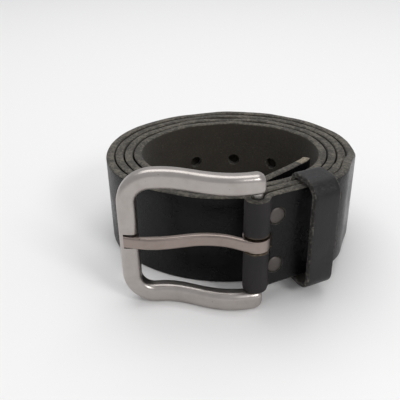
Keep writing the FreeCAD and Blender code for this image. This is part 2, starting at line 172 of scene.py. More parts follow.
# %% Helper: pull a strip of leather
class Strip:
    """A loop of edges that is pulled along, leaving leather behind it."""

    def __init__(self, bm, rim, at, out, thick, going=1.0):
        self.bm, self.rim, self.thick, self.going = bm, rim, thick, going
        self.at, self.out = at.copy(), out.copy()
        self.layer = bm.verts.layers.float["along"]

    def pull(self, move, length, thick=None, hold=0.0, tall=1.0, tall_at=WIDTH / 2):
        """One step. hold says which face stays put while the leather thins."""
        out = (move.to_3x3() @ self.out).normalized()
        total = move
        if thick is not None:
            fixed = move @ (self.at - self.out * self.thick * hold)
            total = (Matrix.Translation(fixed)
                     @ Matrix.Scale(thick / self.thick, 4, out)
                     @ Matrix.Translation(-fixed) @ move)
            self.thick = thick
        if tall != 1.0:
            level = Z * tall_at
            total = (Matrix.Translation(level) @ Matrix.Scale(tall, 4, Z)
                     @ Matrix.Translation(-level) @ total)
        made = bmesh.ops.extrude_edge_only(self.bm, edges=self.rim)["geom"]
        points = [g for g in made if isinstance(g, bmesh.types.BMVert)]
        fresh = set(points)
        self.rim = [g for g in made if isinstance(g, bmesh.types.BMEdge)
                    and g.verts[0] in fresh and g.verts[1] in fresh]
        bmesh.ops.transform(self.bm, matrix=total, verts=points)
        for v in points:
            v[self.layer] += length * self.going
        self.at, self.out = total @ self.at, out

    def bend(self, centre, angle, steps, thick=None, hold=0.0):
        """Turns about a centre in the table's plane."""
        start, arm = self.thick, (self.at - centre).to_2d().length
        turn = (Matrix.Translation(centre) @ Matrix.Rotation(radians(angle / steps), 4, "Z")
                @ Matrix.Translation(-centre))
        for i in range(steps):
            now = None if thick is None else start + (thick - start) * (i + 1) / steps
            self.pull(turn, arm * radians(abs(angle) / steps), now, hold)

    def run(self, way, steps, thick=None, hold=0.0):
        """Goes straight on."""
        start = self.thick
        for i in range(steps):
            now = None if thick is None else start + (thick - start) * (i + 1) / steps
            self.pull(Matrix.Translation(way / steps), way.length / steps, now, hold)


def leather_cut(bm, at, out, thick, wide, soft, cuts):
    """A cut across a strip as a loop of edges, with its corners worn round."""
    corners = [at, at - out * thick, at - out * thick + Z * wide, at + Z * wide]
    face = bm.faces.new([bm.verts.new(c) for c in corners])
    bmesh.ops.bevel(bm, geom=list(face.verts), offset=soft, affect="VERTICES",
                    segments=3, profile=0.5, material=-1)
    # the face goes first, or the cuts would be joined across the leather
    bmesh.ops.delete(bm, geom=list(bm.faces), context="FACES_ONLY")
    tall = [e for e in bm.edges if e.calc_length() > wide * 0.8]
    bmesh.ops.subdivide_edges(bm, edges=tall, cuts=cuts)
    across = bm.verts.layers.float["across"]
    side = bm.verts.layers.float["side"]
    for v in bm.verts:
        v[across] = v.co.z - at.z
        v[side] = (at - v.co).dot(out) / thick
    return list(bm.edges)


def new_leather():
    """An empty mesh whose points can say where on the leather they lie."""
    bm = bmesh.new()
    for label in ("along", "across", "side"):
        bm.verts.layers.float.new(label)
    return bm


def give_finishes(bm, wide, face_index, flesh_index, edge_index):
    """The dyed face, the flesh side and the cut edges each get their own."""
    across = bm.verts.layers.float["across"]
    side = bm.verts.layers.float["side"]
    for face in bm.faces:
        height = sum(v[across] for v in face.verts) / len(face.verts)
        depth = sum(v[side] for v in face.verts) / len(face.verts)
        if height < 0.5 or height > wide - 0.5 or len(face.verts) > 4:
            face.material_index = edge_index
        else:
            face.material_index = face_index if depth < 0.5 else flesh_index


# %% [markdown]
# ## A helper that finishes a piece
#
# Each mesh is made in millimetres. This brings it to metres, gives it its
# finishes and a smooth shade with crisp corners, and lets it ride on the
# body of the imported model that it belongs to.

# %% Helper: finish a piece
def finish_piece(name, bm, body, finishes, stands_for=(), crisp=35.0):
    mesh = bpy.data.meshes.new(name)
    bmesh.ops.scale(bm, vec=(MM, MM, MM), verts=bm.verts)
    bm.to_mesh(mesh)
    bm.free()
    for finish in finishes:
        mesh.materials.append(finish)
    mesh.shade_smooth()
    mesh.set_sharp_from_angle(angle=radians(crisp))
    piece = bpy.data.objects.new(name, mesh)
    bpy.context.scene.collection.objects.link(piece)
    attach(piece, body)
    if stands_for:
        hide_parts(*stands_for)
    print(name, len(mesh.vertices), "points")
    return piece


def write_uv(bm):
    """U is the way along the strap and V the height across it, in metres."""
    along = bm.verts.layers.float["along"]
    across = bm.verts.layers.float["across"]
    uv = bm.loops.layers.uv.new("strap")
    for face in bm.faces:
        for loop in face.loops:
            loop[uv].uv = (loop.vert[along] * MM, loop.vert[across] * MM)


# %% [markdown]
# ## Finishes: small tools for nodes
#
# Every finish is a Principled BSDF whose colour, roughness and bumps come
# from nodes. Effects that several finishes share are node groups, built once:
# the grain of leather and the speckle of a cut edge. A group gives out masks
# and heights, and each material keeps its own shader.

# %% Node tools
def node(tree, kind, at=(0, 0), **values):
    made = tree.nodes.new(kind)
    made.location = at
    for name, value in values.items():
        if name in made.inputs:
            made.inputs[name].default_value = value
        else:
            setattr(made, name, value)
    return made


def new_group(name, ins, outs):
    tree = bpy.data.node_groups.new(name, "ShaderNodeTree")
    for label, value in ins:
        socket = tree.interface.new_socket(label, in_out="INPUT",
                                           socket_type="NodeSocketFloat")
        socket.default_value = value
    for label in outs:
        tree.interface.new_socket(label, in_out="OUTPUT", socket_type="NodeSocketFloat")
    start = node(tree, "NodeGroupInput", (-900, 0))
    end = node(tree, "NodeGroupOutput", (700, 0))
    return tree, start, end


def ramp(tree, at, low, high):
    """A soft step: 0 under low, 1 over high."""
    made = node(tree, "ShaderNodeMapRange", at, interpolation_type="SMOOTHSTEP")
    made.inputs["From Min"].default_value = low
    made.inputs["From Max"].default_value = high
    return made


def math(tree, at, kind, a, b):
    made = node(tree, "ShaderNodeMath", at, operation=kind)
    for i, value in enumerate((a, b)):
        if isinstance(value, (int, float)):
            made.inputs[i].default_value = value
        else:
            tree.links.new(value, made.inputs[i])
    return made.outputs[0]


def noise_node(tree, at, where, size, detail=4.0, rough=0.6, warp=0.0):
    """Noise whose blobs are about size metres across."""
    made = node(tree, "ShaderNodeTexNoise", at, Scale=1.0 / size, Detail=detail,
                Roughness=rough, Distortion=warp)
    tree.links.new(where, made.inputs["Vector"])
    return made.outputs["Fac"]


def object_place(tree):
    return node(tree, "ShaderNodeTexCoord", (-900, 300)).outputs["Object"]


# %% [markdown]
# ## Shared effect: leather grain
#
# Skin is covered with tiny raised cells with fine valleys between them, and
# wider, flatter swellings below. A Voronoi pattern gives the cells and
# noise the swellings. Real grain could be sculpted, but at a third of a
# millimetre a bump does it.

# %% Group: grain
grain_tree, g_in, g_out = new_group("leather grain", [("Cell", 0.0007), ("Swell", 0.004)],
                                    ["Height", "Patches"])
place = object_place(grain_tree)
cells = node(grain_tree, "ShaderNodeTexVoronoi", (-500, 200), feature="DISTANCE_TO_EDGE")
grain_tree.links.new(place, cells.inputs["Vector"])
grain_tree.links.new(math(grain_tree, (-700, 100), "DIVIDE", 1.0, g_in.outputs["Cell"]),
                     cells.inputs["Scale"])
valleys = ramp(grain_tree, (-300, 200), 0.0, 0.22)
grain_tree.links.new(cells.outputs["Distance"], valleys.inputs["Value"])
swell = node(grain_tree, "ShaderNodeTexNoise", (-500, -100), Detail=3.0, Roughness=0.6)
grain_tree.links.new(place, swell.inputs["Vector"])
grain_tree.links.new(math(grain_tree, (-700, -100), "DIVIDE", 1.0, g_in.outputs["Swell"]),
                     swell.inputs["Scale"])
fine = math(grain_tree, (-100, 200), "MULTIPLY", valleys.outputs[0], 0.35)
grain_tree.links.new(math(grain_tree, (100, 100), "ADD", fine, swell.outputs["Fac"]),
                     g_out.inputs["Height"])
patches = ramp(grain_tree, (100, -100), 0.38, 0.66)
grain_tree.links.new(noise_node(grain_tree, (-300, -300), place, 0.014),
                     patches.inputs["Value"])
grain_tree.links.new(patches.outputs[0], g_out.inputs["Patches"])
print("group:", grain_tree.name)

# %% [markdown]
# ## Shared effect: speckle
#
# A cut through leather shows pale bundles of fibre in dark dye, and short
# nap stands up from it. Two noises of different size, pushed towards black
# and white, give specks in clusters.

# %% Group: speckle
speck_tree, s_in, s_out = new_group("fibre speckle", [("Size", 0.0006), ("Amount", 0.5)],
                                    ["Specks", "Height"])
place = object_place(speck_tree)
scale = math(speck_tree, (-700, 100), "DIVIDE", 1.0, s_in.outputs["Size"])
dots = node(speck_tree, "ShaderNodeTexNoise", (-500, 100), Detail=5.0, Roughness=0.75)
speck_tree.links.new(place, dots.inputs["Vector"])
speck_tree.links.new(scale, dots.inputs["Scale"])
clusters = noise_node(speck_tree, (-500, -200), place, 0.006)
level = math(speck_tree, (-300, -200), "MULTIPLY", clusters, s_in.outputs["Amount"])
sharp = ramp(speck_tree, (100, 100), 0.62, 0.86)
speck_tree.links.new(math(speck_tree, (-100, 100), "ADD", dots.outputs["Fac"], level),
                     sharp.inputs["Value"])
speck_tree.links.new(sharp.outputs[0], s_out.inputs["Specks"])
speck_tree.links.new(dots.outputs["Fac"], s_out.inputs["Height"])
print("group:", speck_tree.name)

# %% [markdown]
# ## Leather finishes
#
# The face is dyed black and waxed to a soft shine. The flesh side is brown
# and matt, with a nap. The cut edges were once dyed, and wear has brought
# the fibres through. At the tip the dye is gone and the leather is beige.
# The export reads the exact numbers on the shader's sockets, so specular
# level, coat and sheen are set there as plain values.

# %% Helper: a leather
MIX_MASK, MIX_LOW, MIX_HIGH, MIX_RESULT = 0, 6, 7, 2


def two_tone(tree, at, mask, low, high):
    """Low where the mask is 0, high where it is 1. Low may be a socket."""
    mix = node(tree, "ShaderNodeMix", at, data_type="RGBA")
    if isinstance(low, tuple):
        mix.inputs[MIX_LOW].default_value = (*low, 1)
    else:
        tree.links.new(low, mix.inputs[MIX_LOW])
    mix.inputs[MIX_HIGH].default_value = (*high, 1)
    tree.links.new(mask, mix.inputs[MIX_MASK])
    return mix.outputs[MIX_RESULT]


def start_finish(name, **constants):
    finish = bpy.data.materials.new(name)
    finish.use_nodes = True
    shader = finish.node_tree.nodes["Principled BSDF"]
    for socket, value in constants.items():
        shader.inputs[socket.replace("_", " ")].default_value = value
    return finish, finish.node_tree, shader


def use_group(tree, group, at, **values):
    made = node(tree, "ShaderNodeGroup", at)
    made.node_tree = group
    for label, value in values.items():
        made.inputs[label].default_value = value
    return made


def bump(tree, shader, height, distance, strength=1.0):
    made = node(tree, "ShaderNodeBump", (-200, -400), Strength=strength, Distance=distance)
    tree.links.new(height, made.inputs["Height"])
    tree.links.new(made.outputs["Normal"], shader.inputs["Normal"])


def rough_between(tree, shader, mask, low, high):
    span = node(tree, "ShaderNodeMapRange", (-200, -150))
    span.inputs["To Min"].default_value = low
    span.inputs["To Max"].default_value = high
    tree.links.new(mask, span.inputs["Value"])
    tree.links.new(span.outputs[0], shader.inputs["Roughness"])


# %% Finish: black leather face
def face_leather(name, rough, dark, light, wear=0.7, specular=0.4):
    finish, tree, shader = start_finish(name, Specular_IOR_Level=specular,
                                        Coat_Roughness=0.35, IOR=1.45)
    grain = use_group(tree, grain_tree, (-700, 0), Cell=0.0007, Swell=0.005)
    colour = two_tone(tree, (-450, 200), grain.outputs["Patches"], dark, light)
    place = object_place(tree)
    scuffs = ramp(tree, (-500, 420), 0.64, 0.78)
    tree.links.new(noise_node(tree, (-700, 420), place, 0.0016, 6.0, 0.7, 0.4),
                   scuffs.inputs["Value"])
    faint = math(tree, (-350, 420), "MULTIPLY", scuffs.outputs[0], wear)
    colour = two_tone(tree, (-200, 200), faint, colour, (0.05, 0.044, 0.040))
    tree.links.new(colour, shader.inputs["Base Color"])
    rough_between(tree, shader, grain.outputs["Patches"], rough, rough + 0.12)
    bump(tree, shader, grain.outputs["Height"], 0.00016, 0.7)
    return finish


black_face = face_leather("black leather", 0.26, (0.0032, 0.0031, 0.0036),
                          (0.0055, 0.0053, 0.0059), 0.12, 0.20)
keeper_face = face_leather("keeper leather", 0.32, (0.0075, 0.0070, 0.0078),
                           (0.0130, 0.0122, 0.0132), 0.10, 0.34)
fold_face = face_leather("fold leather", 0.50, (0.0115, 0.0100, 0.0105),
                         (0.0190, 0.0165, 0.0170), 0.3, 0.30)

# %% [markdown]
# The prong rubs the slot's edges each time the belt is worn, and the dye
# goes there first. The rim could be faces with a finish of their own, but a
# mask by height, made ragged with noise, wears away more naturally.

# %% Finish: the fold's worn rim
def worn_rim(finish, height, half, tan):
    """Rubs the dye off by the slot: height and half are the slot's, in metres."""
    tree = finish.node_tree
    shader = tree.nodes["Principled BSDF"]
    dyed = shader.inputs["Base Color"].links[0].from_socket
    place = object_place(tree)
    split = node(tree, "ShaderNodeSeparateXYZ", (-700, 750))
    tree.links.new(place, split.inputs[0])
    off = math(tree, (-550, 750), "SUBTRACT", split.outputs["Z"], height)
    away = math(tree, (-400, 750), "ABSOLUTE", off, 0.0)
    ragged = math(tree, (-400, 600), "MULTIPLY", noise_node(tree, (-600, 600), place, 0.0018),
                  0.0016)
    sound = ramp(tree, (-100, 700), half + 0.0008, half + 0.0019)
    tree.links.new(math(tree, (-250, 700), "ADD", away, ragged), sound.inputs["Value"])
    bare = math(tree, (50, 700), "SUBTRACT", 1.0, sound.outputs[0])
    tree.links.new(two_tone(tree, (200, 500), bare, dyed, tan), shader.inputs["Base Color"])


worn_rim(fold_face, (STRAP_MIDDLE + 1.3) / 1000, 0.0029, (0.085, 0.062, 0.036))


# %% Finish: flesh side and cut edges
def raw_leather(name, dark, light, speck, size, amount, rough=0.85, depth=0.0005):
    finish, tree, shader = start_finish(name, Specular_IOR_Level=0.2, Sheen_Weight=0.08,
                                        Sheen_Roughness=0.6)
    place = object_place(tree)
    tone = two_tone(tree, (-450, 200), noise_node(tree, (-700, 200), place, 0.011, 5.0, 0.65),
                    dark, light)
    specks = use_group(tree, speck_tree, (-700, -100), Size=size, Amount=amount)
    tone = two_tone(tree, (-200, 200), specks.outputs["Specks"], tone, speck)
    tree.links.new(tone, shader.inputs["Base Color"])
    rough_between(tree, shader, specks.outputs["Specks"], rough, rough + 0.1)
    bump(tree, shader, specks.outputs["Height"], depth)
    return finish


flesh = raw_leather("flesh side", (0.029, 0.0245, 0.0185), (0.047, 0.040, 0.031),
                    (0.070, 0.060, 0.046), 0.0008, 0.22, 0.88, 0.00025)
dyed_edge = raw_leather("dyed edge", (0.0085, 0.0080, 0.0075), (0.018, 0.0165, 0.0145),
                        (0.170, 0.155, 0.130), 0.0010, 0.30, 0.75, 0.0006)
cut_edge = raw_leather("cut edge", (0.026, 0.024, 0.020), (0.062, 0.056, 0.047),
                       (0.150, 0.135, 0.108), 0.0011, 0.42, 0.82, 0.0006)
worn_tan = raw_leather("worn tan leather", (0.060, 0.044, 0.026), (0.150, 0.110, 0.062),
                       (0.330, 0.260, 0.160), 0.0010, 0.40, 0.85, 0.0005)
bare_tip = raw_leather("bare tip", (0.110, 0.092, 0.066), (0.230, 0.195, 0.145),
                       (0.320, 0.280, 0.210), 0.0010, 0.45, 0.85, 0.0006)
print("leathers:", [m.name for m in bpy.data.materials if "leather" in m.name])

# %% [markdown]
# ## Metal finishes
#
# The buckle is cast, tumbled and plated with satin nickel: a warm grey with
# a soft sheen, tiny dents and a little grime in the low places. A metal has
# no colour of its own light, so it looks like what stands around it.

# %% Finish: metals
def soft_metal(name, tint, grime, rough, dent=0.00006, pits=0.0):
    finish, tree, shader = start_finish(name, Metallic=1.0, Specular_IOR_Level=0.5)
    place = object_place(tree)
    cloud = ramp(tree, (-500, 200), 0.40, 0.72)
    tree.links.new(noise_node(tree, (-700, 200), place, 0.006, 5.0, 0.6), cloud.inputs["Value"])
    share = math(tree, (-350, 200), "MULTIPLY", cloud.outputs[0], 0.35)
    tone = two_tone(tree, (-200, 200), share, tint, grime)
    dots = ramp(tree, (-500, -50), 0.74, 0.80)
    tree.links.new(noise_node(tree, (-700, -50), place, 0.0011, 2.0, 0.5), dots.inputs["Value"])
    spots = math(tree, (-350, -50), "MULTIPLY", dots.outputs[0], pits)
    tone = two_tone(tree, (0, 200), spots, tone, (0.03, 0.024, 0.02))
    tree.links.new(tone, shader.inputs["Base Color"])
    fine = noise_node(tree, (-700, -300), place, 0.0004, 4.0, 0.7)
    rough_between(tree, shader, fine, rough - 0.05, rough + 0.08)
    bump(tree, shader, noise_node(tree, (-700, -450), place, 0.0009, 5.0, 0.65), dent, 0.6)
    return finish


satin_nickel = soft_metal("satin nickel", (0.435, 0.402, 0.380), (0.31, 0.278, 0.256), 0.31,
                          0.00006, 0.8)
prong_nickel = soft_metal("worn nickel", (0.310, 0.255, 0.230), (0.20, 0.165, 0.145), 0.30,
                          0.00006, 0.8)
plain_steel = soft_metal("plain steel", (0.46, 0.44, 0.42), (0.24, 0.22, 0.20), 0.34)
worn_bronze = soft_metal("dull rivet metal", (0.115, 0.103, 0.096), (0.062, 0.052, 0.046), 0.48,
                         0.00012, 0.9)

# %% [markdown]
# ## The strap
#
# One strip of leather: the wound roll, the lifted end, the fold round the
# bar and the end that comes back. It starts with one cut at the roll's right
# side. From there it is pulled inwards through the sixteen quarters to the
# tip, and then, from the same cut, forwards round the bar and back.

# %% Strap: wind the roll
QUARTER_STEPS = 30
bm = new_leather()
start_at = first_centre + ray(0) * first_radius
first_cut = leather_cut(bm, start_at, ray(0), LEATHER, WIDTH, 0.75, 9)

TIP_START = 11.0
inward = Strip(bm, first_cut, start_at, ray(0), LEATHER)
for n, (c, r, a) in enumerate(quarters):
    begin = 0.0 if n == 0 else a
    end = a + (45.0 + TIP_START if n == QUARTERS - 1 else 90.0)
    inward.bend(c, end - begin, max(4, int(QUARTER_STEPS * (end - begin) / 90.0)))

# %% [markdown]
# The inner end leaves the wall, runs nearly straight and curls a little at
# its tip, as a worn end does. The tip's corners are cut round, so the last
# steps also make the strip less tall, along a circle.

# %% Strap: the tip
TIP_ROUND = 3.5
TIP_BEND, TIP_TURN, TIP_RUN = 16.0, 31.0, 22.0
heading = quarters[-1][2] + 45.0 + TIP_START
inward.bend(inward.at - ray(heading) * TIP_BEND, TIP_TURN, 10)
heading += TIP_TURN
inward.run(ray(heading + 90.0) * TIP_RUN, 8)


def tip_height(left):
    """The strip's height, left millimetres before its end."""
    short = TIP_ROUND - min(left, TIP_ROUND)
    return WIDTH - 2 * TIP_ROUND + 2 * sqrt(max(TIP_ROUND ** 2 - short ** 2, 0.0))


TIP_CURL, CURL_TURN, CURL_STEPS = 9.0, 42.0, 14
left = TIP_CURL * radians(CURL_TURN)
curl_step = left / CURL_STEPS
curl_centre = inward.at - ray(heading) * TIP_CURL
curl_move = (Matrix.Translation(curl_centre)
             @ Matrix.Rotation(radians(CURL_TURN / CURL_STEPS), 4, "Z")
             @ Matrix.Translation(-curl_centre))
for i in range(CURL_STEPS):
    shorter = max(left - curl_step, 0.15)
    inward.pull(curl_move, curl_step, tall=tip_height(shorter) / tip_height(left))
    left = shorter
bmesh.ops.holes_fill(bm, edges=inward.rim)
strap_length = max(v[bm.verts.layers.float["along"]] for v in bm.verts)
print("wound length", round(strap_length), "mm")

# %% [markdown]
# The outer end climbs by 7.5 mm between the oval and its bend, because the
# taller buckle stands on the table and holds the end of the strap up. The
# rise follows half a cosine wave, which is level at both ends.

# %% Strap: ramp and bend
outward = Strip(bm, first_cut, start_at, ray(0), LEATHER, -1.0)
round_length = radians(LEAVE) * first_radius
ramp_length = round_length + reach
RAMP_STEPS = 24


def rise(gone):
    return LIFT * (0.5 - 0.5 * cos(pi * gone / ramp_length))


gone = 0.0
for i in range(RAMP_STEPS):
    step = ramp_length / RAMP_STEPS
    lift = Matrix.Translation(Z * (rise(gone + step) - rise(gone)))
    if gone + step <= round_length + 0.5 * step:
        move = (Matrix.Translation(first_centre)
                @ Matrix.Rotation(-step / first_radius, 4, "Z")
                @ Matrix.Translation(-first_centre))
    else:
        move = Matrix.Translation(slant * step)
    outward.pull(lift @ move, step)
    gone += step
# the bend starts from wherever the steps have brought the strip
turn_left = degrees(outward.out.to_2d().angle_signed(face_dir.to_2d()))
outward.bend(outward.at.to_2d().to_3d() - outward.out * BEND, -abs(turn_left), 16)
print("ramp ends", [round(v, 2) for v in outward.at],
      "meant", [round(v, 2) for v in bend_end])

# %% [markdown]
# Before the bar the leather is pared from 3.4 to 2.6 mm. It swells out over
# the bar in a curl: a small hollow bend first, then a turn of more than half
# a circle round the bar, and a straight run back under the strap's end.

# %% Strap: fold round the bar and come back
FOLD_LEATHER = 2.6
FOLD_INSIDE = 2.05
FOLD_RADIUS = FOLD_INSIDE + FOLD_LEATHER
PARE_FROM = 12.0
SETTLE = 6.0
BACK_REACH, SKIVED_TIP = 7.0, 0.9
HOLLOW = 2.5
PLY_GAP = 0.2
BACK_LEATHER = 3.1
rise_angle = degrees(acos((HOLLOW + BAR_DEPTH) / (HOLLOW + FOLD_RADIUS)))
hollow_along = BAR_ALONG - (HOLLOW + FOLD_RADIUS) * sin(radians(rise_angle))
shift = bend_end - outward.at.to_2d().to_3d()
outward.run(run_dir * PARE_FROM + shift, 6)
outward.run(run_dir * (hollow_along - PARE_FROM), 6, FOLD_LEATHER)
along = bm.verts.layers.float["along"]
fold_from = min(v[along] for v in bm.verts)
outward.bend(on_end(hollow_along, -HOLLOW, 0), rise_angle, 8)
outward.bend(bar.copy(), -(rise_angle + 180.0), 28)
back_depth = LEATHER + PLY_GAP
outward.run(-run_dir * SETTLE - face_dir * (back_depth - BAR_DEPTH - FOLD_INSIDE), 4,
            BACK_LEATHER, 1.0)
outward.run(-run_dir * (BAR_ALONG - SETTLE), 10)
outward.bend(bend_centre.copy(), FACE - LEAVE, 10)
outward.run(-slant * BACK_REACH, 5, SKIVED_TIP, 1.0)
bmesh.ops.holes_fill(bm, edges=outward.rim)
print("doubled end done,", len(bm.verts), "points")

# %% [markdown]
# Real turns never lie dead even. The leather is pushed about by a slow
# noise, a few tenths of a millimetre, less than the air between two turns.
# The noise reads the way along the strap too, so neighbours differ, and it
# dies out towards the rivets and the bar, where metal holds the leather.

# %% Strap: let it lie loosely
SWAY, LIFT_WAVE, RIPPLE = 0.28, 0.55, 0.12
noise.seed_set(1)       # or the sway would differ on every run
for v in bm.verts:
    free = min(1.0, max(0.0, (v[along] + 30.0) / 40.0))
    spot = Vector((v.co.x / 26.0, v.co.y / 26.0, v[along] / 90.0))
    sway = noise.noise_vector(spot) * SWAY * free
    high = max(0.0, v.co.z - 4.0) / WIDTH
    lifted = noise.noise(Vector((v[along] / 17.0, 3.1, 0.0))) * LIFT_WAVE
    v.co += Vector((sway.x, sway.y, 0)) * min(1.0, high + 0.4)
    ripple = noise.noise(Vector((v[along] / 4.0, 9.0, v.co.z))) * RIPPLE
    v.co.z += (lifted + ripple) * high * free
bmesh.ops.recalc_face_normals(bm, faces=bm.faces)
bm.normal_update()

# %% [markdown]
# Every point still knows on which side of the leather it lies, so each face
# gets its finish from that. The fold has its own, duller black, and at the
# tip the dye has worn off the edges. The tight bend round the bar has
# pressed fine upright creases into the fold's grain side.

# %% Strap: give each face its finish
FACE_SIDE, FLESH_SIDE, EDGE, FOLD, TIP, TAN = range(6)
BARE_LENGTH = 10.0
CREASE = 0.16
give_finishes(bm, WIDTH, FACE_SIDE, FLESH_SIDE, EDGE)
for face in bm.faces:
    far = sum(v[along] for v in face.verts) / len(face.verts)
    if far > strap_length - BARE_LENGTH and face.material_index != FACE_SIDE:
        face.material_index = TIP
    if far < fold_from - 2.0 and face.material_index == FACE_SIDE:
        face.material_index = FOLD
side = bm.verts.layers.float["side"]
bm.normal_update()
for v in bm.verts:
    if v[along] < fold_from and v[side] < 0.5:
        spot = Vector((v.co.x / 0.9, v.co.y / 0.9, v.co.z / 6.0))
        v.co -= v.normal * CREASE * abs(noise.noise(spot))
write_uv(bm)
print("finishes given to", len(bm.faces), "faces")

# %% [markdown]
# ## Holes, slot and rivet seats
#
# Holes are punched after the leather is finished, so they are cut last: a
# round punch for each adjustment hole, a chisel for the prong's slot and a
# countersink for each rivet. A Boolean modifier cuts them all at once and
# is applied at once, so only the cut mesh is left.

# %% Helper: cut with punches
STRAP_FINISHES = 6


def cylinder_punch(bm, at, way, r, depth, sides=40):
    turn = way.to_track_quat("Z", "Y").to_matrix().to_4x4()
    move = Matrix.Translation(at + way * depth / 2) @ turn
    bmesh.ops.create_cone(bm, cap_ends=True, segments=sides, radius1=r, radius2=r,
                          depth=depth, matrix=move)


def cut_away(bm, punch, index):
    """Cuts every punch out of bm; the fresh walls get the finish at index."""
    for face in punch.faces:
        face.material_index = index
    things = []
    for label, source in (("blank", bm), ("punch", punch)):
        mesh = bpy.data.meshes.new(label)
        source.to_mesh(mesh)
        source.free()
        for i in range(STRAP_FINISHES):
            mesh.materials.append(None)
        thing = bpy.data.objects.new(label, mesh)
        bpy.context.scene.collection.objects.link(thing)
        things.append(thing)
    blank, tool = things
    cutter = blank.modifiers.new("cut", "BOOLEAN")
    cutter.operation = "DIFFERENCE"
    cutter.solver = "EXACT"
    cutter.object = tool
    seen = bpy.context.evaluated_depsgraph_get()
    made = bpy.data.meshes.new_from_object(blank.evaluated_get(seen))
    fresh = bmesh.new()
    fresh.from_mesh(made)
    for thing in things:
        bpy.data.objects.remove(thing)
    return fresh


# %% Strap: punch it
SLOT_HALF = 3.3
PRONG_Z = STRAP_MIDDLE + 1.3
RIVET_HEAD, RIVET_SPREAD = 3.25, 10.3
RIVET_NEAR, RIVET_FAR = 20.9, -4.6
RIVET_STACK = LEATHER + PLY_GAP + BACK_LEATHER
CAP_THICK = 0.6
HOLE_RADIUS, HOLE_STEP, HOLE_COUNT = 2.8, 19.5, 5
punch = bmesh.new()
hole_spots = []
turn, at_quarter = 59.0, 13
for i in range(HOLE_COUNT):
    c, r, _ = quarters[at_quarter]
    if turn > 135.0 and at_quarter == 13:
        over_by = radians(turn - 135.0) * (r - LEATHER / 2)
        at_quarter = 14
        c, r, _ = quarters[at_quarter]
        turn = 135.0 + degrees(over_by / (r - LEATHER / 2))
    hole_spots.append((c + ray(turn) * (r - LEATHER - 1.5) + Z * WIDTH / 2, ray(turn)))
    turn += degrees(HOLE_STEP / (r - LEATHER / 2))
for spot, way in hole_spots:
    cylinder_punch(punch, spot, way, HOLE_RADIUS, LEATHER + 1.75)
far_way = ray(-FACE - degrees(RIVET_FAR / BEND))
rivet_seats = []
for tag, spot, way in (("near", on_end(RIVET_NEAR, 0.0, 0.0), face_dir),
                       ("far", bend_centre + far_way * BEND, far_way)):
    for level, offset in (("upper", RIVET_SPREAD), ("lower", -RIVET_SPREAD)):
        seat = spot + Z * (STRAP_MIDDLE + offset)
        rivet_seats.append((tag + "_" + level, seat, way))
        cylinder_punch(punch, seat + way * 2.0, -way, RIVET_HEAD + 0.30, 2.75, 48)
        cap_floor = seat - way * (RIVET_STACK - CAP_THICK)
        cylinder_punch(punch, cap_floor, -way, RIVET_HEAD - 0.1, 2.0, 48)
slot_made = bmesh.ops.create_cube(punch, size=1.0)["verts"]
slot_from, slot_to = 22.5, 36.5
slot_frame = Matrix((
    (run_dir.x, face_dir.x, 0, on_end((slot_from + slot_to) / 2, 3.5).x),
    (run_dir.y, face_dir.y, 0, on_end((slot_from + slot_to) / 2, 3.5).y),
    (0, 0, 1, PRONG_Z),
    (0, 0, 0, 1),
))
size = Matrix.Diagonal((slot_to - slot_from, 20.0, 2 * SLOT_HALF, 1.0))
bmesh.ops.transform(punch, matrix=slot_frame @ size, verts=slot_made)
bmesh.ops.recalc_face_normals(punch, faces=punch.faces)
bm = cut_away(bm, punch, EDGE)
bm.normal_update()
for face in bm.faces:
    spot = face.calc_center_median()
    in_slot = abs(spot.z - PRONG_Z) < SLOT_HALF + 0.1 and abs(face.normal.z) > 0.8
    if in_slot and (spot - bar).to_2d().length < 7.0:
        face.material_index = TAN
finish_piece("belt_strap", bm, "strap",
             [black_face, flesh, cut_edge, fold_face, bare_tip, worn_tan],
             ["strap"])

# %% [markdown]
# ## Keeper
#
# The keeper is a short band of thinner leather whose ends are stapled
# together behind the strap. The same helper makes it: a cut across the band
# is pulled round the four corners. The cut here lies flat on its back, so
# it is made standing up and then turned into place.

# %% Keeper: bend the band
KEEPER_WIDTH, KEEPER_LEATHER = 11.0, 2.1
FRONT_GAP, BACK_GAP, EDGE_GAP = 4.0, 0.45, 1.55
KEEPER_START, KEEPER_DROP = -1.1, 0.7
FRONT_ROUND, BACK_ROUND = 6.0, 3.9
half_tall = WIDTH / 2 + EDGE_GAP + KEEPER_LEATHER
deep = LEATHER + PLY_GAP + BACK_LEATHER + FRONT_GAP + BACK_GAP + 2 * KEEPER_LEATHER
front_y = -FRONT_GAP - KEEPER_LEATHER
back_y = front_y + deep
band = new_leather()
# here the band stands: x is the strap's height, y its depth, z its length
start_at = Vector((0.15, back_y, 0))
cut = leather_cut(band, start_at, Vector((0, 1, 0)), KEEPER_LEATHER, KEEPER_WIDTH, 0.55, 6)
loop = Strip(band, cut, start_at, Vector((0, 1, 0)), KEEPER_LEATHER)
first_rim = list(cut)
loop.run(Vector((half_tall - BACK_ROUND - 0.15, 0, 0)), 8)
loop.bend(Vector((half_tall - BACK_ROUND, back_y - BACK_ROUND, 0)), -90.0, 12)
loop.run(Vector((0, -(deep - BACK_ROUND - FRONT_ROUND), 0)), 4)
loop.bend(Vector((half_tall - FRONT_ROUND, front_y + FRONT_ROUND, 0)), -90.0, 14)
loop.run(Vector((-2 * (half_tall - FRONT_ROUND), 0, 0)), 18)
loop.bend(Vector((-half_tall + FRONT_ROUND, front_y + FRONT_ROUND, 0)), -90.0, 14)
loop.run(Vector((0, deep - BACK_ROUND - FRONT_ROUND, 0)), 4)
loop.bend(Vector((-half_tall + BACK_ROUND, back_y - BACK_ROUND, 0)), -90.0, 12)
loop.run(Vector((half_tall - BACK_ROUND - 0.15, 0, 0)), 8)
bmesh.ops.holes_fill(band, edges=loop.rim + first_rim)
bmesh.ops.recalc_face_normals(band, faces=band.faces)
give_finishes(band, KEEPER_WIDTH, 0, 1, 2)
